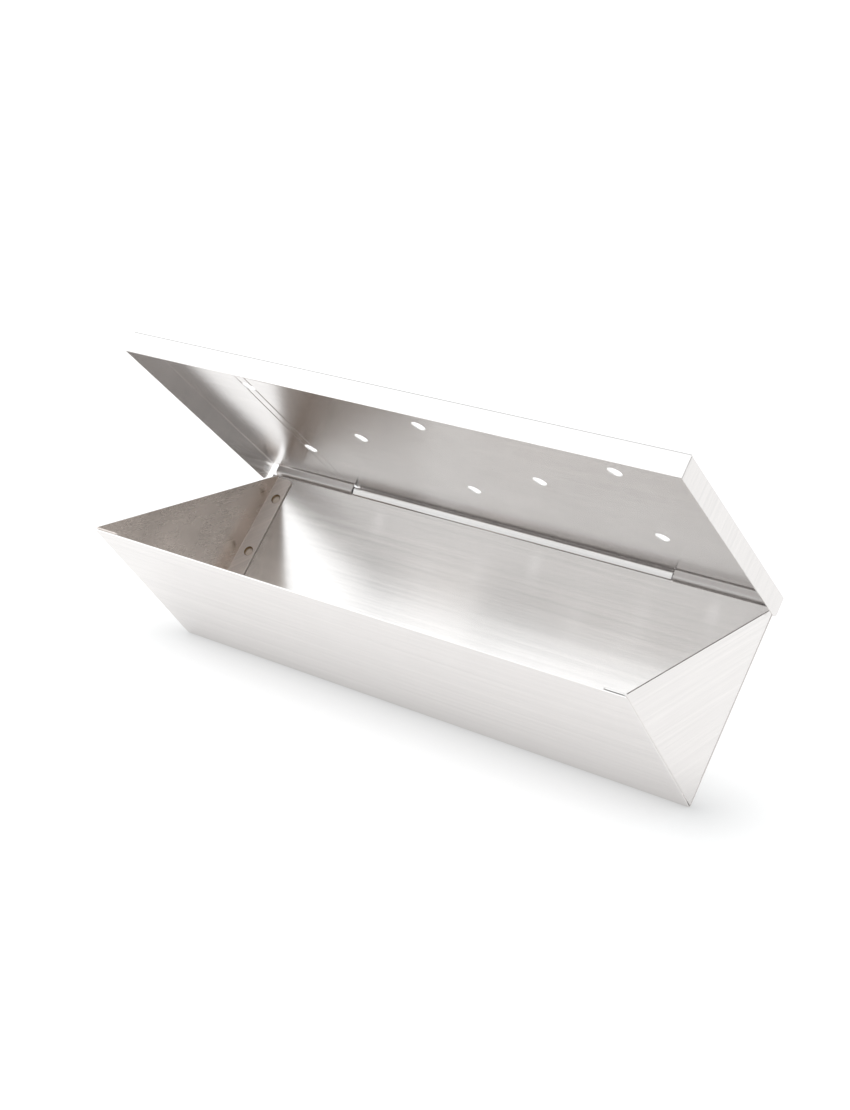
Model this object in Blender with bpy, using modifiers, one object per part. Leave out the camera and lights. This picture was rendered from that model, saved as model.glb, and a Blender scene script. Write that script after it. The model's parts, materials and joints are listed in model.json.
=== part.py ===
"""V-shaped smoker box for a gas grill: a folded stainless trough with a perforated hinged lid.

The box runs along X and its front faces -Y. The origin is on the underside of the keel bend,
half way along. Each sheet is drawn as its middle surface, which a Solidify modifier thickens,
so a fold is an edge of that surface and a rolled knuckle is an arc of it.
"""
import math

import bmesh
import bpy
from mathutils import Vector

# Trough, in metres
LENGTH = 0.320              # over the end plates
WIDTH = 0.1395              # over the two rims
HEIGHT = 0.0780             # keel to rim
SHEET = 0.0007              # thickness of every sheet
GAP = 0.0003                # left between pieces that touch
KEEL_RADIUS = 0.0020        # outside radius of the bend along the bottom

# Hinge along the rear rim
KNUCKLE_RADIUS = 0.0024     # outside radius of the knuckle rolled from the wall
LID_KNUCKLE_RADIUS = 0.0026
HINGE_RISE = 0.0029         # from the rear rim to the hinge axis, along the wall
PIN_RADIUS = 0.0014
HINGE_SHIFT = 0.0016        # the knuckles and the smoke holes sit this far towards +X
CENTRE_KNUCKLE = 0.2040     # length of the knuckle on the rear wall
HINGE_LENGTH = 0.3180       # over the lid's two knuckles
KNUCKLE_GAP = 0.0008        # between the ends of neighbouring knuckles
WALL_KINK = 0.0024          # from the hinge axis down to the fold under the centre knuckle
PIN_OVERHANG = 0.0004       # the pin shows this much past the lid's knuckles

# Lid, measured from the hinge axis: forwards along the panel and up from it
LID_OPEN = math.radians(40.5)
LID_WIDTH = 0.3258          # over the side flanges
LID_REACH = 0.1451          # hinge axis to the outside of the front flange
LID_RISE = 0.00375          # hinge axis to the top of the panel
FLANGE_DEPTH = 0.0116       # top of the panel to the free edge of a flange
SIDE_FLANGE_START = 0.0020  # rear end of the side flanges
FLANGE_CORNER = 0.0028      # radius of their lower rear corner
RELIEF_DEPTH = 0.0050       # inner end of the slits beside the centre knuckle
LIP_REACH = 0.0034          # the panel covers the centre knuckle, and its rear edge is folded
LIP_DEPTH = 0.0023          # down behind it as a lip that hides the gap

# Smoke holes, three staggered rows
HOLE_RADIUS = 0.00385
HOLE_PITCH = 0.0549         # between neighbouring columns
ROW_PITCH = 0.0331
FRONT_ROW = 0.0368          # from the front of the lid
HOLE_COLUMNS = ((-2, 0, 2), (-1, 1), (-2, 0, 2))    # in each row, from front to rear

# End plates and the flanges that are welded to the walls
LEFT_SET_IN = (0.0025, 0.0306)      # the left plate sits askew: at the keel, and per metre of y
TAB_REACH = {-1: 0.0157, 1: 0.0118} # left and right, from the end of the box to a tab's free edge
TAB_LENGTH = 0.0910         # along the fold
TAB_TAPER = 0.0050          # the lower end of a tab is cut back by this much
TAB_CORNER = 0.0020
TAB_ABOVE_RIM = {-1: 0.0006, 1: -0.0012}            # front tab, rear tab
WELD_RADIUS = 0.0029
WELD_DIMPLE = 0.0001        # the weld's face lies this far below the tab's face
WELD_EDGE = 0.0046          # from the tab's free edge
WELD_FIRST = 0.0144         # from the rim, along the wall
WELD_PITCH = 0.0346
WELDS_PER_TAB = 3

ARC_STEP = math.radians(15)
ROUND_SIDES = 24

STAINLESS = ((0.62, 0.61, 0.60), 0.30)
PIN_STEEL = ((0.50, 0.50, 0.51), 0.35)
WELD_STEEL = ((0.45, 0.40, 0.35), 0.45)

# The rear wall leans back from the keel; the front wall is its mirror image.
REACH = math.hypot(WIDTH / 2, HEIGHT - KEEL_RADIUS)
LEAN = math.acos(KEEL_RADIUS / REACH) - math.atan2(HEIGHT - KEEL_RADIUS, WIDTH / 2)
WALL_UP = Vector((0, math.sin(LEAN), math.cos(LEAN)))
WALL_IN = Vector((0, -math.cos(LEAN), math.sin(LEAN)))
RIM = Vector((0, WIDTH / 2, HEIGHT)) + WALL_IN * SHEET / 2
HINGE_AXIS = RIM + WALL_UP * HINGE_RISE


def clear_scene():
    """Remove what a new file holds, and return collections for the parts and the cutters."""
    for obj in list(bpy.data.objects):
        bpy.data.objects.remove(obj, do_unlink=True)
    made = []
    for name in ("smoker_box", "cutters"):
        collection = bpy.data.collections.new(name)
        bpy.context.scene.collection.children.link(collection)
        made.append(collection)
    return made


def steel(name, look):
    """Metal material with the given colour and roughness."""
    colour, roughness = look
    material = bpy.data.materials.new(name)
    material.use_nodes = True
    shader = material.node_tree.nodes["Principled BSDF"]
    shader.inputs["Base Color"].default_value = (*colour, 1)
    shader.inputs["Metallic"].default_value = 1
    shader.inputs["Roughness"].default_value = roughness
    return material


def arc(centre, radius, start, end):
    """Points (a, b) on an arc, both ends included, no further than ARC_STEP apart."""
    steps = max(1, math.ceil(abs(end - start) / ARC_STEP - 1e-6))
    angles = [start + (end - start) * i / steps for i in range(steps + 1)]
    return [(centre[0] + radius * math.cos(a), centre[1] + radius * math.sin(a)) for a in angles]


def strip(mesh, path, stations):
    """Add the sheet that follows path, a list of (y, z), between neighbouring x stations."""
    rows = [[mesh.verts.new((x, y, z)) for x in stations] for y, z in path]
    for row, following in zip(rows, rows[1:]):
        for i in range(len(stations) - 1):
            mesh.faces.new((row[i], row[i + 1], following[i + 1], following[i]))


def outline(mesh, points):
    """Add one flat piece of sheet with the given corners."""
    mesh.faces.new([mesh.verts.new(point) for point in points])


def link(name, data, collection, material=None):
    """Object that holds the mesh data, in the collection."""
    obj = bpy.data.objects.new(name, data)
    collection.objects.link(obj)
    if material:
        data.materials.append(material)
    return obj


def sheet_object(name, mesh, collection, material):
    """Object made of the sheet surfaces in mesh, joined where they meet and then thickened."""
    bmesh.ops.remove_doubles(mesh, verts=mesh.verts, dist=1e-6)
    bmesh.ops.recalc_face_normals(mesh, faces=mesh.faces)
    data = bpy.data.meshes.new(name)
    mesh.to_mesh(data)
    mesh.free()
    obj = link(name, data, collection, material)
    solidify = obj.modifiers.new("sheet", "SOLIDIFY")
    solidify.thickness = SHEET
    solidify.offset = 0
    solidify.use_even_offset = True
    solidify.use_quality_normals = True
    return obj


def cylinder(mesh, centre, axis, radius, length):
    """Add a closed cylinder to mesh, centred on centre."""
    turn = Vector((0, 0, 1)).rotation_difference(Vector(axis)).to_matrix().to_4x4()
    turn.translation = centre
    bmesh.ops.create_cone(mesh, cap_ends=True, segments=ROUND_SIDES, radius1=radius,
                          radius2=radius, depth=length, matrix=turn)


def cylinder_object(name, centre, axis, radius, length, collection, material):
    """Smooth-shaded cylinder as an object."""
    mesh = bmesh.new()
    cylinder(mesh, centre, axis, radius, length)
    data = bpy.data.meshes.new(name)
    mesh.to_mesh(data)
    mesh.free()
    data.shade_smooth()
    data.set_sharp_from_angle(angle=math.radians(40))
    return link(name, data, collection, material)


def punch(obj, places, axes, radius, cutters):
    """Cut a round hole through obj at each of the places, given in obj's own coordinates."""
    mesh = bmesh.new()
    for place, axis in zip(places, axes):
        cylinder(mesh, place, axis, radius, 10 * SHEET)
    data = bpy.data.meshes.new(obj.name + "_punch")
    mesh.to_mesh(data)
    mesh.free()
    cutter = link(data.name, data, cutters)
    cutter.parent = obj
    cutter.hide_render = True
    cutter.display_type = "WIRE"
    cut = obj.modifiers.new("holes", "BOOLEAN")
    cut.operation = "DIFFERENCE"
    cut.solver = "EXACT"
    cut.object = cutter


def on_wall(side, along, inwards):
    """(y, z) at a distance along a wall from its rim, and inwards from its middle surface."""
    point = RIM + WALL_UP * along + WALL_IN * inwards
    return side * point.y, point.z


def knuckle_on_wall():
    """Path of the centre knuckle, from the rear rim round the pin and back to the wall."""
    def place(up, inwards):
        point = HINGE_AXIS + WALL_UP * up + WALL_IN * inwards
        return point.y, point.z

    radius = KNUCKLE_RADIUS - SHEET / 2
    roll = arc((0, 0), radius, math.acos(radius / WALL_KINK), math.radians(335))
    return [(RIM.y, RIM.z), place(-WALL_KINK, 0)] + [place(-a, b) for a, b in roll]


def make_trough(collection, material):
    """Both walls, the keel bend between them and the centre knuckle, all one folded sheet."""
    keel = arc((0, KEEL_RADIUS), KEEL_RADIUS - SHEET / 2, LEAN - math.pi, -LEAN)
    centre = (HINGE_SHIFT - CENTRE_KNUCKLE / 2, HINGE_SHIFT + CENTRE_KNUCKLE / 2)
    mesh = bmesh.new()
    strip(mesh, [(-RIM.y, RIM.z)] + keel + [(RIM.y, RIM.z)],
          (-LENGTH / 2, *centre, LENGTH / 2))
    strip(mesh, knuckle_on_wall(), centre)
    return sheet_object("trough_shell", mesh, collection, material)


def plate_x(end, y):
    """X of the middle of an end plate's sheet."""
    keel, per_y = LEFT_SET_IN if end < 0 else (0, 0)
    return end * (LENGTH / 2 - SHEET / 2 - keel - per_y * y)


def tab_outline(end, side):
    """Corners of one welded tab, from the top of its fold to the bottom of it."""
    inner = TAB_REACH[end] - TAB_CORNER
    top = TAB_ABOVE_RIM[side]
    free = arc((inner, top - TAB_CORNER), TAB_CORNER, math.pi / 2, 0)
    free += arc((inner, TAB_CORNER + TAB_TAPER - TAB_LENGTH), TAB_CORNER, 0, -math.pi / 2)
    fold = [on_wall(side, along, SHEET + GAP) for along in (min(top, 0), top, -TAB_LENGTH)]
    start, step, bottom = [(plate_x(end, y), y, z) for y, z in fold]
    step = (step[0] - end * 2 * SHEET, step[1], step[2])
    edge = [(end * (LENGTH / 2 - inset), *on_wall(side, along, SHEET + GAP))
            for inset, along in free]
    return [start, step] + edge + [bottom]


def plate_outline(end):
    """Corners of an end plate's flat triangle, with the ends of its two folds among them."""
    inwards = SHEET + GAP
    tip = KEEL_RADIUS - (KEEL_RADIUS - SHEET / 2 - inwards) / math.sin(LEAN)
    front = [on_wall(-1, along, inwards) for along in (0, -TAB_LENGTH)]
    rear = [on_wall(1, along, inwards) for along in (-TAB_LENGTH, TAB_ABOVE_RIM[1], 0)]
    return [(plate_x(end, y), y, z) for y, z in front + [(0, tip)] + rear]


def weld_places(end, side):
    """Centres of the welds on the middle surface of one tab."""
    x = end * (LENGTH / 2 - TAB_REACH[end] + WELD_EDGE)
    rows = [-WELD_FIRST - WELD_PITCH * i for i in range(WELDS_PER_TAB)]
    return [(x, *on_wall(side, along, SHEET + GAP)) for along in rows]


def weld_axis(side):
    """Direction square to a wall, into the box."""
    return Vector((0, side * WALL_IN.y, WALL_IN.z))


def make_end_plate(end, name, collection, cutters, material):
    """Triangular end with a tab along each wall, and holes where the welds come through."""
    mesh = bmesh.new()
    outline(mesh, plate_outline(end))
    places = []
    axes = []
    for side in (-1, 1):
        outline(mesh, tab_outline(end, side))
        places += weld_places(end, side)
        axes += [weld_axis(side)] * WELDS_PER_TAB
    plate = sheet_object(name, mesh, collection, material)
    punch(plate, places, axes, WELD_RADIUS + GAP, cutters)
    return plate


def make_welds(end, end_name, collection, material):
    """One spot weld nugget in each hole of an end plate's tabs."""
    depth = SHEET - WELD_DIMPLE
    for side, side_name in ((-1, "front"), (1, "rear")):
        axis = weld_axis(side)
        for i, place in enumerate(weld_places(end, side)):
            centre = Vector(place) - axis * WELD_DIMPLE / 2
            cylinder_object(f"spot_weld_{end_name}_{side_name}_{i + 1}", centre, axis,
                            WELD_RADIUS, depth, collection, material)


def knuckle_on_lid(level):
    """Path of a lid knuckle, from the slits in the panel down in front of the pin and round it."""
    radius = LID_KNUCKLE_RADIUS - SHEET / 2
    roll = arc((0, 0), radius, 0, math.radians(-290))
    forward = [(RELIEF_DEPTH, level), (radius, level)] + roll
    return [(-u, n) for u, n in forward]


def side_flange_outline(x, level):
    """Corners of a side flange, with its lower rear corner rounded."""
    front = LID_REACH - SHEET - GAP
    free = LID_RISE - FLANGE_DEPTH
    corner = arc((SIDE_FLANGE_START + FLANGE_CORNER, free + FLANGE_CORNER), FLANGE_CORNER,
                 math.pi, 1.5 * math.pi)
    flat = [(front, level), (RELIEF_DEPTH, level), (SIDE_FLANGE_START, level)]
    flat += corner + [(front, free)]
    return [(x, -u, n) for u, n in flat]


def hole_places():
    """Centres of the smoke holes on the lid's panel, in the lid's own coordinates."""
    places = []
    for row, columns in enumerate(HOLE_COLUMNS):
        forward = LID_REACH - FRONT_ROW - ROW_PITCH * row
        for column in columns:
            places.append((HINGE_SHIFT + HOLE_PITCH * column, -forward, LID_RISE - SHEET / 2))
    return places


def make_lid(hinge, collection, cutters, material):
    """Panel with three flanges, a lip, two knuckles and the smoke holes, all one folded sheet.

    It is drawn shut, with the hinge axis as its origin, and the hinge empty holds it open.
    """
    level = LID_RISE - SHEET / 2
    edge = LID_WIDTH / 2 - SHEET / 2
    front = LID_REACH - SHEET / 2
    knuckle = CENTRE_KNUCKLE / 2 + KNUCKLE_GAP
    left = (HINGE_SHIFT - HINGE_LENGTH / 2, HINGE_SHIFT - knuckle)
    right = (HINGE_SHIFT + knuckle, HINGE_SHIFT + HINGE_LENGTH / 2)
    cover = (left[1] + GAP, right[0] - GAP)
    lip = LIP_REACH - SHEET / 2
    stations = (-edge, *left, *cover, *right, edge)
    mesh = bmesh.new()
    strip(mesh, [(-front, LID_RISE - FLANGE_DEPTH), (-front, level), (-front + SHEET, level),
                 (-RELIEF_DEPTH, level)], stations)
    strip(mesh, [(-RELIEF_DEPTH, level), (lip, level), (lip, LID_RISE - LIP_DEPTH)], cover)
    for tab, side in ((left, (-edge, left[0])), (right, (right[1], edge))):
        strip(mesh, knuckle_on_lid(level), tab)
        strip(mesh, [(-RELIEF_DEPTH, level), (-SIDE_FLANGE_START, level)], side)
    for x in (-edge, edge):
        outline(mesh, side_flange_outline(x, level))
    lid = sheet_object("lid_pan", mesh, collection, material)
    lid.parent = hinge
    places = hole_places()
    punch(lid, places, [(0, 0, 1)] * len(places), HOLE_RADIUS, cutters)
    return lid


def make_hinge(collection):
    """Empty on the hinge axis that holds the lid at its rest angle."""
    hinge = bpy.data.objects.new("lid_hinge", None)
    hinge.location = HINGE_AXIS
    hinge.rotation_euler = (-LID_OPEN, 0, 0)
    collection.objects.link(hinge)
    return hinge


def make_pin(collection, material):
    """Wire that the knuckles turn on."""
    centre = HINGE_AXIS + Vector((HINGE_SHIFT, 0, 0))
    return cylinder_object("hinge_pin", centre, (1, 0, 0), PIN_RADIUS,
                           HINGE_LENGTH + 2 * PIN_OVERHANG, collection, material)


def main():
    parts, cutters = clear_scene()
    stainless = steel("brushed_stainless", STAINLESS)
    welded = steel("weld_steel", WELD_STEEL)
    make_trough(parts, stainless)
    for end, name in ((-1, "left"), (1, "right")):
        make_end_plate(end, f"{name}_end_plate", parts, cutters, stainless)
        make_welds(end, name, parts, welded)
    make_pin(parts, steel("pin_steel", PIN_STEEL))
    make_lid(make_hinge(parts), parts, cutters, stainless)


main()
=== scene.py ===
"""Looks of a V-shaped smoker box: folded stainless sheet, rolled hinge, spot welds, white studio.

The pieces are built again as thin sheets with real bend radii, on the same driving sizes as the
frame. A sheet is drawn as its middle surface and thickened. Its UV map holds metres on the flat
pattern, U across the brushing and V along it, so the grain follows the sheet round every fold.
"""
import json
import math

import bmesh
import bpy
from mathutils import Matrix, Vector


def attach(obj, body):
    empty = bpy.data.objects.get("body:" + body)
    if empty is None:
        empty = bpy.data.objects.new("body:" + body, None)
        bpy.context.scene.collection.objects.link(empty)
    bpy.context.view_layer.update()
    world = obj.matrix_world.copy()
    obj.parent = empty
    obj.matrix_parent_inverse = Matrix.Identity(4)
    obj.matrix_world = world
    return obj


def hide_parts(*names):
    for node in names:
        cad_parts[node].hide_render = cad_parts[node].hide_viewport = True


# Trough, in metres
LENGTH = 0.320
WIDTH = 0.1395
HEIGHT = 0.0780
SHEET = 0.0007
GAP = 0.0003                # beside a knuckle, its cover or a flange
KEEL_RADIUS = 0.0020

# Hinge
KNUCKLE_RADIUS = 0.0024
LID_KNUCKLE_RADIUS = 0.0026
HINGE_SHIFT = 0.0016
CENTRE_KNUCKLE = 0.2040
HINGE_LENGTH = 0.3180
KNUCKLE_GAP = 0.0008
WALL_KINK = 0.0024          # below the axis, where the rear wall bends out round the pin
PIN_RADIUS = 0.0013         # thinner than the frame's; the flattened knuckle still cuts 0.1 mm in
PIN_OVERHANG = 0.0004

# Lid, forwards and up from the hinge axis
LID_OPEN = math.radians(40.5)
LID_WIDTH = 0.3258
LID_REACH = 0.1451
LID_RISE = 0.00375
FLANGE_DEPTH = 0.0116
SIDE_FLANGE_START = 0.0020
FLANGE_CORNER = 0.0028
RELIEF_DEPTH = 0.0050
LIP_REACH = 0.0034
LIP_DEPTH = 0.0023
HOLE_RADIUS = 0.00385
HOLE_PITCH = 0.0549
ROW_PITCH = 0.0331
FRONT_ROW = 0.0368
HOLE_COLUMNS = ((-2, 0, 2), (-1, 1), (-2, 0, 2))

# End plates, tabs and welds
LEFT_SET_IN = (0.0025, 0.0306)      # at the keel, and per metre of y
TAB_REACH = {-1: 0.0157, 1: 0.0118}     # from the left and the right end of the box
TAB_LENGTH = 0.0910
TAB_TAPER = 0.0050
TAB_CORNER = 0.0020
TAB_ABOVE_RIM = {-1: 0.0006, 1: -0.0012}        # the front and the rear ones
WELD_RADIUS = 0.0029
WELD_EDGE = 0.0046          # from the tab's free edge to the middle of a weld
WELD_FIRST = 0.0144         # from the rim down to the first weld
WELD_PITCH = 0.0346
WELDS_PER_TAB = 3

# Detail that only the looks need
FOLD_RADIUS = 0.00065       # middle surface of a fold
ROOT_RADIUS = 0.0014        # where the lid's knuckles leave the panel
KINK_RADIUS = 0.0008        # where the centre knuckle leaves the wall
KNUCKLE_FLAT = (math.radians(-10), math.radians(60))    # flattened part of its front, from level
WALL_ROLL = math.radians(335)   # the centre knuckle's end, from straight down the wall
LID_ROLL = math.radians(-290)   # the other knuckles' end, from straight in front of the pin
FOLD_STEP = math.radians(12)
ROLL_STEP = math.radians(7.5)
WELD_DEPTH = 0.00045        # the middle of a weld's dimple below its tab's face
WELD_RINGS = 12
WELD_SKIRT = 0.0001         # a weld reaches this far past its hole
WELD_SUNK = 0.00003         # and lies this far below its tab's face there
PIN_CHAMFER = 0.0002
RIM_RISE = 0.0002           # the rear rim is this much nearer to the lid's knuckles
TAB_GAP = 0.00018           # tabs lie this close to the walls
WITNESS_LINES = (-0.1113, -0.1051)      # x of two faint ridges across the lid
WITNESS = (0.0005, 0.00018)             # half width and height of a ridge
EDGE_ROUND = 0.00012        # cut edges are slightly dulled
SHARP = math.radians(50)    # edges that turn by more are dulled, or shaded sharp
MERGE = 2e-6                # points closer than this are one
HOLE_SIDES = 64
ROUND_SIDES = 48            # of the pin and the welds

REACH = math.hypot(WIDTH / 2, HEIGHT - KEEL_RADIUS)
LEAN = math.acos(KEEL_RADIUS / REACH) - math.atan2(HEIGHT - KEEL_RADIUS, WIDTH / 2)
WALL_UP = Vector((math.sin(LEAN), math.cos(LEAN)))      # up the rear wall, as (y, z)
WALL_IN = Vector((-math.cos(LEAN), math.sin(LEAN)))     # square to it, into the box
RIM = Vector((WIDTH / 2, HEIGHT)) + WALL_IN * SHEET / 2

# Camera
CAMERA_AZIMUTH = math.radians(36.194)
CAMERA_ELEVATION = math.radians(19.107)
CAMERA_ROLL = math.radians(2.443)
CAMERA_PLACE = (0.47866, -0.65091, 0.36486)
CAMERA_LENS = 55.68
CAMERA_SENSOR = 36          # width in mm
CAMERA_CLIP = 200

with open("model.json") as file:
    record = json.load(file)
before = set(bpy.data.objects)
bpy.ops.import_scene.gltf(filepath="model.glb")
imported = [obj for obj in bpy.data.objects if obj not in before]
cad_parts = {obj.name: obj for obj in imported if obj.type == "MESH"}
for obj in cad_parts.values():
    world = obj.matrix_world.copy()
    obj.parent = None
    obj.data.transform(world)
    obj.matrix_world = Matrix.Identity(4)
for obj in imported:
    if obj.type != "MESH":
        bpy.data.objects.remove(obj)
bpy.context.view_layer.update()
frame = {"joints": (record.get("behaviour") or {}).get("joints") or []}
HINGE_AXIS = Vector(frame["joints"][0]["pos_m"])


# Paths and sheets

def arc(centre, radius, start, end, step):
    """Points on an arc, both ends included, no further than step apart."""
    steps = max(1, math.ceil(abs(end - start) / step - 1e-6))
    angles = [start + (end - start) * i / steps for i in range(steps + 1)]
    return [Vector((centre[0] + radius * math.cos(a), centre[1] + radius * math.sin(a)))
            for a in angles]


def fillet(points, radius):
    """The path through 2D points with each of its inner corners rounded."""
    points = [Vector(p) for p in points]
    path = [points[0]]
    for before, corner, after in zip(points, points[1:], points[2:]):
        back = (before - corner).normalized()
        on = (after - corner).normalized()
        half = back.angle(on) / 2
        centre = corner + (back + on).normalized() * radius / math.sin(half)
        first = corner + back * radius / math.tan(half) - centre
        last = corner + on * radius / math.tan(half) - centre
        start = math.atan2(first.y, first.x)
        turn = math.remainder(math.atan2(last.y, last.x) - start, 2 * math.pi)
        path += arc(centre, radius, start, start + turn, FOLD_STEP)
    path.append(points[-1])
    return path


def add_face(mesh, corners, flat, look=0):
    """One face, with the place of each corner on the flat pattern as its UV."""
    face = mesh.faces.new([mesh.verts.new(corner) for corner in corners])
    layer = mesh.loops.layers.uv.verify()
    for loop, place in zip(face.loops, flat):
        loop[layer].uv = place
    face.smooth = True
    face.material_index = look


def strip(mesh, path, stations, place, grain_on_path=False, look=0):
    """Sheet that follows a 2D path between neighbouring stations; place makes the 3D points."""
    distance = 0
    for a, b in zip(path, path[1:]):
        following = distance + (b - a).length
        for s, t in zip(stations, stations[1:]):
            corners = [place(a, s), place(a, t), place(b, t), place(b, s)]
            flat = [(distance, s), (distance, t), (following, t), (following, s)]
            if grain_on_path:
                flat = [(v, u) for u, v in flat]
            add_face(mesh, corners, flat, look)
        distance = following


def on_trough(point, station):
    """3D point at (y, z) of the trough's section."""
    return Vector((station, point.x, point.y))


def on_lid(point, station):
    """Point at (forwards, up) from the hinge axis, in the lid's own coordinates."""
    return Vector((station, -point.x, point.y))


def on_wall(side, along, inwards):
    """(y, z) at a distance along a wall from its rim, and inwards from its middle surface."""
    point = RIM + WALL_UP * along + WALL_IN * inwards
    return Vector((side * point.x, point.y))


# Objects

def link(name, data):
    obj = bpy.data.objects.new(name, data)
    bpy.context.scene.collection.objects.link(obj)
    return obj


def sheet_object(name, mesh, *materials):
    """Object from the sheet surfaces in mesh, joined and thickened."""
    bmesh.ops.remove_doubles(mesh, verts=mesh.verts, dist=MERGE)
    bmesh.ops.recalc_face_normals(mesh, faces=mesh.faces)
    data = bpy.data.meshes.new(name)
    mesh.to_mesh(data)
    mesh.free()
    for material in materials:
        data.materials.append(material)
    obj = link(name, data)
    solidify = obj.modifiers.new("sheet", "SOLIDIFY")
    solidify.thickness = SHEET
    solidify.offset = 0
    solidify.use_even_offset = True
    solidify.use_quality_normals = True
    return obj


def punch(obj, places, axes, radius):
    """Round holes through obj, at places and along axes in its own coordinates."""
    mesh = bmesh.new()
    for place, axis in zip(places, axes):
        turn = Vector((0, 0, 1)).rotation_difference(Vector(axis)).to_matrix().to_4x4()
        turn.translation = place
        bmesh.ops.create_cone(mesh, cap_ends=True, segments=HOLE_SIDES, radius1=radius,
                              radius2=radius, depth=8 * SHEET, matrix=turn)
    data = bpy.data.meshes.new(obj.name + "_punch")
    mesh.to_mesh(data)
    mesh.free()
    cutter = link(data.name, data)
    cutter.matrix_world = obj.matrix_world
    cut = obj.modifiers.new("holes", "BOOLEAN")
    cut.operation = "DIFFERENCE"
    cut.solver = "EXACT"
    cut.object = cutter
    return cutter


def finish_sheet(obj, cutter=None):
    """Dull the cut edges, make the modifiers real and shade folds smoothly."""
    bevel = obj.modifiers.new("edges", "BEVEL")
    bevel.width = EDGE_ROUND
    bevel.segments = 2
    bevel.limit_method = "ANGLE"
    bevel.angle_limit = SHARP
    bevel.use_clamp_overlap = True
    normals = obj.modifiers.new("normals", "WEIGHTED_NORMAL")
    normals.keep_sharp = True
    bpy.context.view_layer.update()
    evaluated = obj.evaluated_get(bpy.context.evaluated_depsgraph_get())
    data = bpy.data.meshes.new_from_object(evaluated)
    obj.modifiers.clear()
    obj.data = data
    if cutter:
        bpy.data.objects.remove(cutter)
    return obj


def stand_for(obj, body, slot, *nodes):
    """Make obj ride on a body in place of the frame's nodes."""
    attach(obj, body)
    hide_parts(*nodes)


# Trough

def centre_span():
    """X stations of the ends of the centre knuckle."""
    return HINGE_SHIFT - CENTRE_KNUCKLE / 2, HINGE_SHIFT + CENTRE_KNUCKLE / 2


def wall_knuckle_path():
    """From the rear rim up to the fold and round the pin, with the front flattened."""
    axis = Vector(HINGE_AXIS.yz)

    def place(up, inwards):
        return axis + WALL_UP * up + WALL_IN * inwards

    radius = KNUCKLE_RADIUS - SHEET / 2
    roll = arc((0, 0), radius, math.acos(radius / WALL_KINK), WALL_ROLL, ROLL_STEP)
    turned = [place(-p.x, p.y) for p in roll]
    start = fillet([RIM, place(-WALL_KINK, 0), turned[0]], KINK_RADIUS)
    low, high = KNUCKLE_FLAT
    return start[:-1] + [p for p in turned
                         if not low < math.atan2(p.y - axis.y, axis.x - p.x) < high]


def make_trough(material):
    """Both walls with the keel between them, the centre knuckle and the rear rim beside it."""
    keel = arc((0, KEEL_RADIUS), KEEL_RADIUS - SHEET / 2, LEAN - math.pi, -LEAN, FOLD_STEP)
    left, right = centre_span()
    rims = ((-LENGTH / 2, left - GAP), (right + GAP, LENGTH / 2))
    mesh = bmesh.new()
    strip(mesh, [Vector((-RIM.x, RIM.y))] + keel + [RIM], (*rims[0], left, right, *rims[1]),
          on_trough)
    strip(mesh, wall_knuckle_path(), (left, right), on_trough)
    for rim in rims:
        strip(mesh, [RIM, RIM + WALL_UP * RIM_RISE], rim, on_trough)
    trough = finish_sheet(sheet_object("trough", mesh, material))
    stand_for(trough, "box", "brushed_stainless", "trough_shell")


# End plates

def unfolded(side, along, out):
    """Place on the flat pattern of a point beyond the fold of a tab, as a UV."""
    point = on_wall(side, along, SHEET + TAB_GAP - out)
    return point.y, point.x


def plate_point(end, point, out=0.0):
    """Point on the middle of an end plate's sheet at (y, z), moved into the box by out."""
    keel, per_y = LEFT_SET_IN if end < 0 else (0, 0)
    inset = SHEET / 2 + keel + per_y * point.x + out
    return Vector((end * (LENGTH / 2 - inset), point.x, point.y))


def make_tab(mesh, end, side):
    """Fold and tab along one wall, whose free edge stays parallel to the end of the box."""
    lift = SHEET + TAB_GAP
    top = TAB_ABOVE_RIM[side]
    start = min(top, 0)

    def place(point, along):
        return plate_point(end, on_wall(side, along, lift + point.y), point.x)

    fold = arc((FOLD_RADIUS, FOLD_RADIUS), FOLD_RADIUS, math.pi, 1.5 * math.pi, FOLD_STEP)
    for a, b in zip(fold, fold[1:]):
        corners = [place(a, start), place(a, -TAB_LENGTH), place(b, -TAB_LENGTH), place(b, start)]
        flat = [unfolded(side, start, a.x), unfolded(side, -TAB_LENGTH, a.x),
                unfolded(side, -TAB_LENGTH, b.x), unfolded(side, start, b.x)]
        add_face(mesh, corners, flat)
    inner = TAB_REACH[end] - TAB_CORNER
    free = arc((inner, top - TAB_CORNER), TAB_CORNER, math.pi / 2, 0, FOLD_STEP)
    free += arc((inner, TAB_CORNER + TAB_TAPER - TAB_LENGTH), TAB_CORNER, 0, -math.pi / 2,
                FOLD_STEP)
    edge = [place(fold[-1], start), place(Vector((2 * SHEET, 0)), top)]
    edge += [Vector((end * (LENGTH / 2 - inset), *on_wall(side, along, lift)))
             for inset, along in free]
    edge.append(place(fold[-1], -TAB_LENGTH))
    along_wall = [start, top] + [p.y for p in free] + [-TAB_LENGTH]
    add_face(mesh, edge, [unfolded(side, along, LENGTH / 2 - abs(corner.x))
                          for along, corner in zip(along_wall, edge)])


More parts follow.
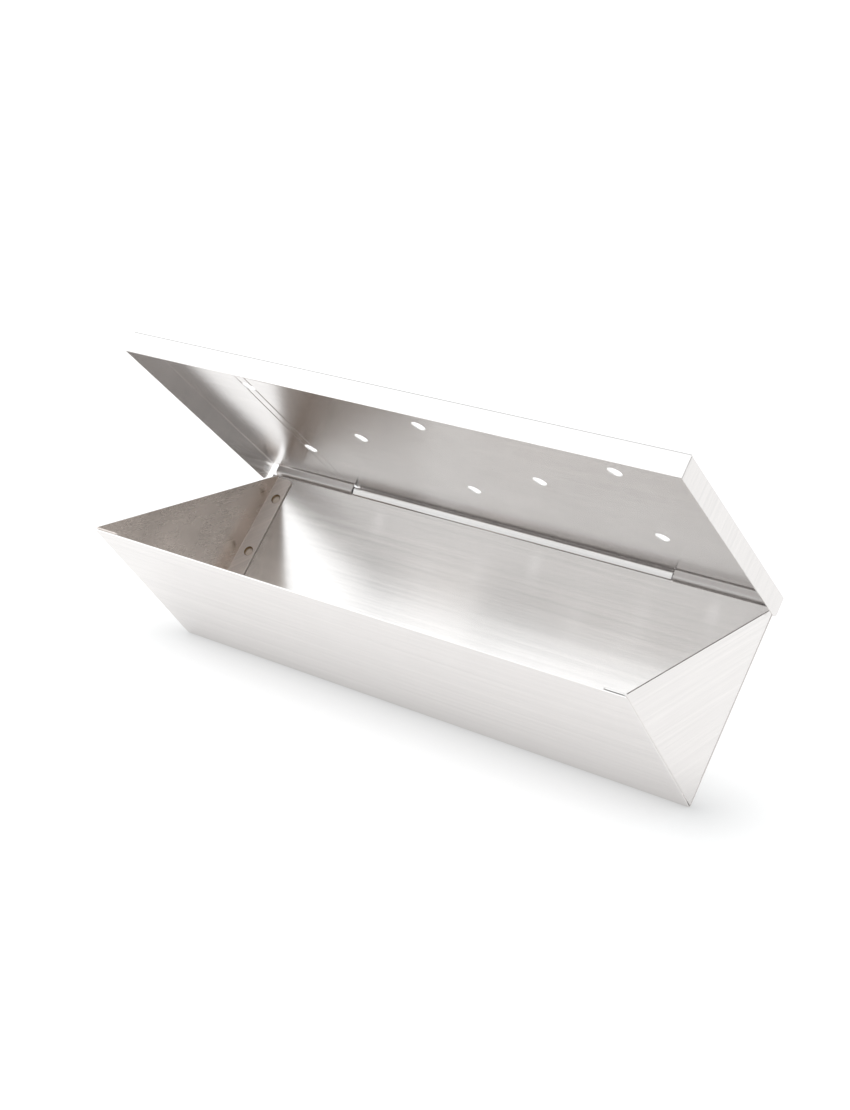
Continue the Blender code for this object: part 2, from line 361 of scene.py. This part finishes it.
def make_plate(mesh, end):
    """The triangle between the folds, down to its tip in the keel."""
    lift = SHEET + TAB_GAP
    tip = KEEL_RADIUS - (KEEL_RADIUS - SHEET / 2 - lift) / math.sin(LEAN)
    front = [on_wall(-1, 0, lift + FOLD_RADIUS), on_wall(-1, -TAB_LENGTH, lift + FOLD_RADIUS),
             on_wall(-1, -TAB_LENGTH, lift)]
    rear = [on_wall(1, -TAB_LENGTH, lift), on_wall(1, -TAB_LENGTH, lift + FOLD_RADIUS),
            on_wall(1, TAB_ABOVE_RIM[1], lift + FOLD_RADIUS), on_wall(1, 0, lift + FOLD_RADIUS)]
    around = front + [Vector((0, tip))] + rear
    add_face(mesh, [plate_point(end, p) for p in around], [(p.y, p.x) for p in around], look=1)


def weld_places(end, side):
    """Centres of the welds on the middle surface of one tab."""
    x = end * (LENGTH / 2 - TAB_REACH[end] + WELD_EDGE)
    rows = [-WELD_FIRST - WELD_PITCH * i for i in range(WELDS_PER_TAB)]
    return [Vector((x, *on_wall(side, along, SHEET + TAB_GAP))) for along in rows]


def weld_axis(side):
    return Vector((0, side * WALL_IN.x, WALL_IN.y))


def make_end_plate(end, name, *materials):
    """One end plate; the materials are the tabs' and the triangle's."""
    mesh = bmesh.new()
    make_plate(mesh, end)
    places = []
    axes = []
    for side in (-1, 1):
        make_tab(mesh, end, side)
        places += weld_places(end, side)
        axes += [weld_axis(side)] * WELDS_PER_TAB
    obj = sheet_object(f"{name}_end", mesh, *materials)
    plate = finish_sheet(obj, punch(obj, places, axes, WELD_RADIUS))
    stand_for(plate, "box", "brushed_stainless", f"{name}_end_plate")


def weld_mesh(material):
    """Shallow round dimple left by the electrode, facing +Z."""
    top = SHEET / 2
    rings = [i / WELD_RINGS for i in range(WELD_RINGS + 1)]
    profile = [(WELD_RADIUS * r, top - WELD_DEPTH * (1 - r ** 4) ** 1.3) for r in rings]
    skirt = WELD_RADIUS + WELD_SKIRT
    foot = -SHEET / 2 - TAB_GAP
    profile += [(skirt, top - WELD_SUNK), (skirt, foot), (0, foot)]
    mesh = bmesh.new()
    points = [mesh.verts.new((r, 0, z)) for r, z in profile]
    edges = [mesh.edges.new(pair) for pair in zip(points, points[1:])]
    bmesh.ops.spin(mesh, geom=points + edges, cent=(0, 0, 0), axis=(0, 0, 1),
                   angle=2 * math.pi, steps=ROUND_SIDES, use_merge=True)
    bmesh.ops.remove_doubles(mesh, verts=mesh.verts, dist=MERGE)
    bmesh.ops.recalc_face_normals(mesh, faces=mesh.faces)
    data = bpy.data.meshes.new("spot_weld")
    mesh.to_mesh(data)
    mesh.free()
    data.shade_smooth()
    data.set_sharp_from_angle(angle=SHARP)
    data.materials.append(material)
    return data


def make_welds(end, name, data):
    """The welds of one end plate, all of them with the same mesh."""
    for side, side_name in ((-1, "front"), (1, "rear")):
        turn = Vector((0, 0, 1)).rotation_difference(weld_axis(side)).to_matrix().to_4x4()
        for i, place in enumerate(weld_places(end, side)):
            obj = link(f"weld_{name}_{side_name}_{i + 1}", data)
            obj.matrix_world = Matrix.Translation(place) @ turn
            stand_for(obj, "box", "weld_steel", f"spot_weld_{name}_{side_name}_{i + 1}")


# Lid

def lid_knuckle_path(level):
    """From the slits in the panel down in front of the pin and round it."""
    radius = LID_KNUCKLE_RADIUS - SHEET / 2
    start = fillet([(RELIEF_DEPTH, level), (radius, level), (radius, 0)], ROOT_RADIUS)
    return start[:-1] + arc((0, 0), radius, 0, LID_ROLL, ROLL_STEP)


def lid_stations():
    """X spans of the lid's left knuckle, the cover over the centre one and the right knuckle."""
    centre = centre_span()
    left = (HINGE_SHIFT - HINGE_LENGTH / 2, centre[0] - KNUCKLE_GAP)
    right = (centre[1] + KNUCKLE_GAP, HINGE_SHIFT + HINGE_LENGTH / 2)
    return left, (left[1] + GAP, right[0] - GAP), right


def ridge_stations():
    """X stations of the sides and crests of the faint ridges across the panel."""
    return [x + WITNESS[0] * step for x in WITNESS_LINES for step in (-1, 0, 1)]


def make_panel(mesh, level):
    """Flat of the lid, the front flange, and the cover with its lip over the centre knuckle."""
    edge = LID_WIDTH / 2 - SHEET / 2
    flat = edge - FOLD_RADIUS
    front = LID_REACH - SHEET / 2
    bend = front - FOLD_RADIUS
    left, cover, right = lid_stations()
    spans = (-flat, *left, *cover, *right, flat)
    half, height = WITNESS
    ridges = ridge_stations()

    def ridged(point, station):
        on_crest = station in WITNESS_LINES and RELIEF_DEPTH < point.x < bend
        return on_lid(point - Vector((0, height if on_crest else 0)), station)

    run = [Vector((u, level)) for u in (bend, bend - half, RELIEF_DEPTH + half, RELIEF_DEPTH)]
    strip(mesh, run, sorted((*spans, *ridges)), ridged)
    lip = SHEET / 2 - LIP_REACH
    over = fillet([(RELIEF_DEPTH, level), (lip, level), (lip, LID_RISE - LIP_DEPTH)], FOLD_RADIUS)
    strip(mesh, over, cover, on_lid)
    ends = LID_WIDTH / 2
    fold = fillet([(front, LID_RISE - FLANGE_DEPTH), (front, level), (bend, level)], FOLD_RADIUS)
    strip(mesh, fold[:-1], sorted((-ends, *spans, *ridges, ends)), on_lid)


def make_side_flange(mesh, side, level):
    """Fold and flange on one side, with a rounded rear corner.

    The sheet reaches in to the end of the nearer knuckle, whose station is inner.
    """
    edge = LID_WIDTH / 2 - SHEET / 2
    front = LID_REACH - SHEET - GAP
    bend = LID_REACH - SHEET / 2 - FOLD_RADIUS
    left, _, right = lid_stations()
    inner = right[1] if side > 0 else -left[0]

    def place(point, station):
        return Vector((side * point.x, -station, point.y))

    fold = arc((edge - FOLD_RADIUS, level - FOLD_RADIUS), FOLD_RADIUS, math.pi / 2, 0, FOLD_STEP)
    strip(mesh, fold, (SIDE_FLANGE_START, RELIEF_DEPTH, bend - GAP), place, grain_on_path=True)
    strip(mesh, [Vector((inner, level)), fold[0]], (SIDE_FLANGE_START, RELIEF_DEPTH), place,
          grain_on_path=True)
    free = LID_RISE - FLANGE_DEPTH
    top = level - FOLD_RADIUS
    corner = arc((SIDE_FLANGE_START + FLANGE_CORNER, free + FLANGE_CORNER), FLANGE_CORNER,
                 math.pi, 1.5 * math.pi, FOLD_STEP)
    around = [(front, top), (bend - GAP, top), (RELIEF_DEPTH, top), (SIDE_FLANGE_START, top)]
    around += [tuple(p) for p in corner] + [(front, free)]
    add_face(mesh, [Vector((side * edge, -u, n)) for u, n in around],
             [(u, side * (edge + level - n)) for u, n in around])


def hole_places():
    """Centres of the smoke holes, in rows from the front."""
    places = []
    for row, columns in enumerate(HOLE_COLUMNS):
        forward = LID_REACH - FRONT_ROW - ROW_PITCH * row
        for column in columns:
            places.append(Vector((HINGE_SHIFT + HOLE_PITCH * column, -forward,
                                  LID_RISE - SHEET / 2)))
    return places


def make_lid(*materials):
    """The lid; the materials are the panel's and the knuckles'."""
    level = LID_RISE - SHEET / 2
    mesh = bmesh.new()
    make_panel(mesh, level)
    left, _, right = lid_stations()
    for span in (sorted((*left, *ridge_stations())), right):
        strip(mesh, lid_knuckle_path(level), span, on_lid, look=1)
    for side in (-1, 1):
        make_side_flange(mesh, side, level)
    obj = sheet_object("lid", mesh, *materials)
    obj.matrix_world = Matrix.Translation(HINGE_AXIS) @ Matrix.Rotation(-LID_OPEN, 4, "X")
    bpy.context.view_layer.update()
    places = hole_places()
    lid = finish_sheet(obj, punch(obj, places, [(0, 0, 1)] * len(places), HOLE_RADIUS))
    stand_for(lid, "lid", "brushed_stainless", "lid_pan")


def make_pin(material):
    """Drawn wire with chamfered ends."""
    length = HINGE_LENGTH + 2 * PIN_OVERHANG
    turn = Matrix.Translation(HINGE_AXIS + Vector((HINGE_SHIFT, 0, 0)))
    turn = turn @ Matrix.Rotation(math.pi / 2, 4, "Y")
    mesh = bmesh.new()
    bmesh.ops.create_cone(mesh, cap_ends=True, segments=ROUND_SIDES, radius1=PIN_RADIUS,
                          radius2=PIN_RADIUS, depth=length, matrix=turn)
    data = bpy.data.meshes.new("pin")
    mesh.to_mesh(data)
    mesh.free()
    obj = link("pin", data)
    bevel = obj.modifiers.new("chamfer", "BEVEL")
    bevel.width = PIN_CHAMFER
    bevel.segments = 2
    bevel.limit_method = "ANGLE"
    data.shade_smooth()
    data.set_sharp_from_angle(angle=SHARP)
    data.materials.append(material)
    stand_for(obj, "box", "pin_steel", "hinge_pin")


# Materials

class Nodes:
    """Small helper that adds nodes to a material or a world and links them."""

    def __init__(self, owner):
        self.owner = owner
        owner.use_nodes = True
        self.tree = owner.node_tree
        self.shader = next(node for node in self.tree.nodes
                           if node.type in ("BSDF_PRINCIPLED", "BACKGROUND"))

    def add(self, kind, **inputs):
        node = self.tree.nodes.new(kind)
        for key, value in inputs.items():
            self.feed(node.inputs[key.replace("_", " ")], value)
        return node

    def feed(self, socket, value):
        if isinstance(value, bpy.types.NodeSocket):
            self.tree.links.new(value, socket)
        else:
            socket.default_value = value

    def maths(self, operation, a, b=0.0):
        node = self.tree.nodes.new("ShaderNodeMath")
        node.operation = operation
        self.feed(node.inputs[0], a)
        self.feed(node.inputs[1], b)
        return node.outputs[0]

    def noise(self, vector, scale, detail=2.0, rough=0.5):
        node = self.add("ShaderNodeTexNoise", Vector=vector, Scale=scale, Detail=detail,
                        Roughness=rough)
        return node.outputs["Fac"]

    def ranged(self, value, low, high, to_low, to_high, smooth=False):
        node = self.tree.nodes.new("ShaderNodeMapRange")
        node.interpolation_type = "SMOOTHSTEP" if smooth else "LINEAR"
        self.feed(node.inputs["Value"], value)
        for name, number in (("From Min", low), ("From Max", high), ("To Min", to_low),
                             ("To Max", to_high)):
            node.inputs[name].default_value = number
        return node.outputs["Result"]


STAINLESS = (0.816, 0.790, 0.775)
STAINED_AND_SHADED = (0.76, 0.685, 0.63)       # the left end plate's triangle: brown stains, and darker as painted shade inside the box's end
DULLED_AND_LIT = (0.95, 0.89, 0.85)         # the left end plate's tabs: rough, and lighter as painted light
KNUCKLE_SHADE = (0.64, 0.61, 0.595)       # the lid's knuckles, darker as painted shade where they sit under the lid against the rear wall
WIRE = (0.50, 0.50, 0.51)
WELD_CLEAN = (0.82, 0.75, 0.68)
# brown heat tint, darkened as painted shade of the dimple's shaded side
WELD_TINT_AND_SHADE = (0.20, 0.13, 0.07)
CLEAN_LIT_CENTRE = (0.0007, -0.0006)    # of a weld's clean part, off the weld's own centre, so that the painted shade falls on one side
TINT_AND_SHADE_START = 0.62                   # the heat tint and painted shade start at this share of a weld's radius from there

# Noise cells per metre
GRAIN_ACROSS = 1900.0       # across the brushing
GRAIN_ALONG = 8.0           # and along it
POLISH = 38.0               # where the sheet is smoother or rougher
BLOTCHES = 45.0             # where it is lighter or darker
WELD_SCALE = 1500.0
WIRE_MARKS = (60, 3000, 3000)

SPREAD = (0.3, 0.7)         # most values of a noise lie between these
FINE_GRAIN = 0.6            # share of the fine grain, next to a coarser one
GRAIN_DEPTH = 0.00002


def stretched(nodes, across, along):
    """The flat pattern's coordinates, scaled unevenly."""
    uv = nodes.add("ShaderNodeUVMap").outputs[0]
    node = nodes.add("ShaderNodeMapping", Vector=uv)
    node.inputs["Scale"].default_value = (across, along, 1)
    return node.outputs[0]


def brushed(name, colour=STAINLESS, roughness=0.20, anisotropic=0.90, smudge=0.01,
            contrast=0.07):
    """Brushed stainless steel; contrast is the grain's and smudge that of the blotches."""
    nodes = Nodes(bpy.data.materials.new(name))
    shader = nodes.shader
    shader.inputs["Metallic"].default_value = 1.0
    shader.inputs["Anisotropic"].default_value = anisotropic
    tangent = nodes.add("ShaderNodeTangent")
    tangent.direction_type = "UV_MAP"
    nodes.feed(shader.inputs["Tangent"], tangent.outputs[0])
    fine = nodes.noise(stretched(nodes, GRAIN_ACROSS, GRAIN_ALONG), 1.0, 3.0, 0.7)
    coarse = nodes.noise(stretched(nodes, GRAIN_ACROSS / 5, GRAIN_ALONG / 3), 1.0, 2.0, 0.6)
    grain = nodes.maths("ADD", nodes.maths("MULTIPLY", fine, FINE_GRAIN),
                        nodes.maths("MULTIPLY", coarse, 1 - FINE_GRAIN))
    where = nodes.add("ShaderNodeTexCoord").outputs["Object"]
    polish = nodes.noise(where, POLISH, 4.0, 0.6)
    blotch = nodes.noise(where, BLOTCHES, 1.0)
    level = nodes.ranged(grain, *SPREAD, 1 - contrast, 1 + contrast)
    level = nodes.maths("MULTIPLY", level,
                        nodes.ranged(blotch, *SPREAD, 1 + smudge / 2, 1 - smudge / 2))
    tint = nodes.add("ShaderNodeVectorMath")
    tint.operation = "SCALE"
    tint.inputs[0].default_value = colour
    nodes.feed(tint.inputs["Scale"], level)
    nodes.feed(shader.inputs["Base Color"], tint.outputs[0])
    rough = nodes.maths("ADD", nodes.ranged(grain, *SPREAD, roughness - 0.01, roughness + 0.01),
                        nodes.ranged(polish, 0.35, 0.65, -0.008, 0.012))
    nodes.feed(shader.inputs["Roughness"], rough)
    bump = nodes.add("ShaderNodeBump", Height=grain)
    bump.inputs["Strength"].default_value = 2 * contrast
    bump.inputs["Distance"].default_value = GRAIN_DEPTH
    nodes.feed(shader.inputs["Normal"], bump.outputs[0])
    return nodes.owner


def weld_look():
    """Steel with a brown heat tint, darkened as painted shade towards the weld's own -X and +Y."""
    nodes = Nodes(bpy.data.materials.new("weld_steel"))
    shader = nodes.shader
    shader.inputs["Metallic"].default_value = 1.0
    where = nodes.add("ShaderNodeTexCoord").outputs["Object"]
    split = nodes.add("ShaderNodeSeparateXYZ", Vector=where)
    across, up = (nodes.maths("SUBTRACT", split.outputs[i], CLEAN_LIT_CENTRE[i]) for i in (0, 1))
    radius = nodes.maths("SQRT", nodes.maths("ADD", nodes.maths("POWER", across, 2.0),
                                             nodes.maths("POWER", up, 2.0)))
    ramp = nodes.add("ShaderNodeValToRGB", Fac=nodes.ranged(radius, 0.0, WELD_RADIUS, 0, 1))
    stops = ramp.color_ramp.elements
    stops[0].position = TINT_AND_SHADE_START
    stops[0].color = (*WELD_CLEAN, 1)
    stops[1].position = 1.0
    stops[1].color = (*WELD_TINT_AND_SHADE, 1)
    nodes.feed(shader.inputs["Base Color"], ramp.outputs[0])
    nodes.feed(shader.inputs["Roughness"],
               nodes.ranged(nodes.noise(where, WELD_SCALE), *SPREAD, 0.25, 0.42))
    return nodes.owner


def wire_look():
    """Drawn wire, with marks along it."""
    nodes = Nodes(bpy.data.materials.new("pin_steel"))
    shader = nodes.shader
    shader.inputs["Metallic"].default_value = 1.0
    where = nodes.add("ShaderNodeTexCoord").outputs["Object"]
    node = nodes.add("ShaderNodeMapping", Vector=where)
    node.inputs["Scale"].default_value = WIRE_MARKS
    marks = nodes.noise(node.outputs[0], 1.0, 3.0)
    shader.inputs["Base Color"].default_value = (*WIRE, 1)
    nodes.feed(shader.inputs["Roughness"], nodes.ranged(marks, *SPREAD, 0.25, 0.45))
    return nodes.owner


# Studio

# A span of four numbers goes from the first to the second, where the light goes from the third to
# the fourth.
FLOOR_HALF = 40                         # half its width
FLOOR_WHITE = 0.36
FLOOR_GLOW = 0.76                       # the floor is a light table
GLOW_UNDER = 0.50                       # share of the glow that is left in the contact shadow
SHADOW = (0.0, 0.050)                   # the shadow fades between these distances from the keel
GLOW_SIDES = (-0.25, 0.40, 1.10, 0.98)  # over x, share of the glow
WORLD_LIGHT = 1.27
WORLD_WHITE = (0.972, 1.0, 1.012)
WORLD_RISE = (0.25, 0.72, 0.75, 1.28)   # over the sine of the elevation, share of the light
DARK_SIDE = (0.59, -0.80, -0.09)        # the unlit part of the studio is towards here
DARK_EDGE = (28, 76)                    # its edge starts and ends this many degrees off
DARK_LIGHT = 0.42
BACK_SIDE = (0.0, 0.6, 0.8)             # high up behind the object it is dimmer
BACK_SHARE = (0.38, 0.68, 1.0, 0.55)    # over the cosine of the angle to there, share of the light
BACKDROP = (0.12, 0.19, 1.05, 0.0)      # over the sine of the elevation, light of a low backdrop


def make_camera():
    """Camera at its place, turned by azimuth, elevation and roll."""
    camera = bpy.data.objects.new("camera", bpy.data.cameras.new("camera"))
    camera.data.lens = CAMERA_LENS
    camera.data.sensor_width = CAMERA_SENSOR
    camera.data.clip_end = CAMERA_CLIP
    turn = (Matrix.Rotation(CAMERA_AZIMUTH, 4, "Z")
            @ Matrix.Rotation(math.pi / 2 - CAMERA_ELEVATION, 4, "X")
            @ Matrix.Rotation(CAMERA_ROLL, 4, "Z"))
    camera.matrix_world = Matrix.Translation(CAMERA_PLACE) @ turn
    bpy.context.scene.collection.objects.link(camera)
    bpy.context.scene.camera = camera


def floor_glow(nodes):
    """Glow of the floor, weaker under the box and towards the right."""
    where = nodes.add("ShaderNodeNewGeometry").outputs["Position"]
    split = nodes.add("ShaderNodeSeparateXYZ", Vector=where)
    past = nodes.maths("SUBTRACT", nodes.maths("ABSOLUTE", split.outputs[0]), LENGTH / 2)
    past = nodes.maths("MAXIMUM", past, 0.0)
    away = nodes.maths("SQRT", nodes.maths("ADD", nodes.maths("POWER", past, 2.0),
                                           nodes.maths("POWER", split.outputs[1], 2.0)))
    share = nodes.maths("SQRT", nodes.ranged(away, *SHADOW, 0, 1))
    glow = nodes.ranged(share, 0, 1, FLOOR_GLOW * GLOW_UNDER, FLOOR_GLOW)
    return nodes.maths("MULTIPLY", glow, nodes.ranged(split.outputs[0], *GLOW_SIDES))


def make_floor():
    """Wide white light table."""
    mesh = bmesh.new()
    bmesh.ops.create_grid(mesh, x_segments=1, y_segments=1, size=FLOOR_HALF)
    data = bpy.data.meshes.new("floor")
    mesh.to_mesh(data)
    mesh.free()
    floor = link("floor", data)
    nodes = Nodes(bpy.data.materials.new("floor_white"))
    nodes.shader.inputs["Base Color"].default_value = (FLOOR_WHITE, FLOOR_WHITE, FLOOR_WHITE, 1)
    nodes.shader.inputs["Roughness"].default_value = 0.9
    nodes.shader.inputs["Specular IOR Level"].default_value = 0.1
    nodes.shader.inputs["Emission Color"].default_value = (1, 1, 1, 1)
    nodes.feed(nodes.shader.inputs["Emission Strength"], floor_glow(nodes))
    data.materials.append(nodes.owner)


def aimed(nodes, towards, side):
    """Cosine of the angle between a direction and one side of the studio."""
    aim = nodes.add("ShaderNodeVectorMath")
    aim.operation = "DOT_PRODUCT"
    nodes.feed(aim.inputs[0], towards)
    aim.inputs[1].default_value = Vector(side).normalized()
    return aim.outputs["Value"]


def make_world():
    """White surroundings with a dark part, a dimmer part behind and a white backdrop."""
    nodes = Nodes(bpy.data.worlds.new("studio"))
    towards = nodes.add("ShaderNodeTexCoord").outputs["Generated"]
    height = nodes.add("ShaderNodeSeparateXYZ", Vector=towards).outputs["Z"]
    dark, back = (aimed(nodes, towards, side) for side in (DARK_SIDE, BACK_SIDE))
    inner, outer = (math.cos(math.radians(angle)) for angle in DARK_EDGE)
    nodes.shader.inputs["Color"].default_value = (*WORLD_WHITE, 1)
    light = nodes.ranged(dark, outer, inner, WORLD_LIGHT, DARK_LIGHT, smooth=True)
    for share in (nodes.ranged(height, *WORLD_RISE), nodes.ranged(back, *BACK_SHARE, smooth=True)):
        light = nodes.maths("MULTIPLY", light, share)
    nodes.feed(nodes.shader.inputs["Strength"],
               nodes.maths("MAXIMUM", light, nodes.ranged(height, *BACKDROP)))
    bpy.context.scene.world = nodes.owner


def main():
    make_camera()
    bpy.context.scene.view_settings.view_transform = "Standard"
    make_world()
    make_floor()
    steel = brushed("brushed_stainless")
    make_trough(steel)
    welds = weld_mesh(weld_look())
    # the left end plate's triangle: brown stains, darkened further as painted shade
    stained_shaded = brushed("stained_shaded_stainless", STAINED_AND_SHADED, 0.27, smudge=0.16, contrast=0.02)
    # the left end plate's tabs: rough, and lightened as painted light
    dulled_lit = brushed("dulled_lit_stainless", DULLED_AND_LIT, 0.80, anisotropic=0.0)
    for end, name, tabs, plate in ((-1, "left", dulled_lit, stained_shaded), (1, "right", steel, steel)):
        make_end_plate(end, name, tabs, plate)
        make_welds(end, name, welds)
    make_pin(wire_look())
    # the lid's knuckles take a darker copy of the steel as painted shade
    make_lid(steel, brushed("shaded_knuckle_stainless", KNUCKLE_SHADE, 0.30))


main()
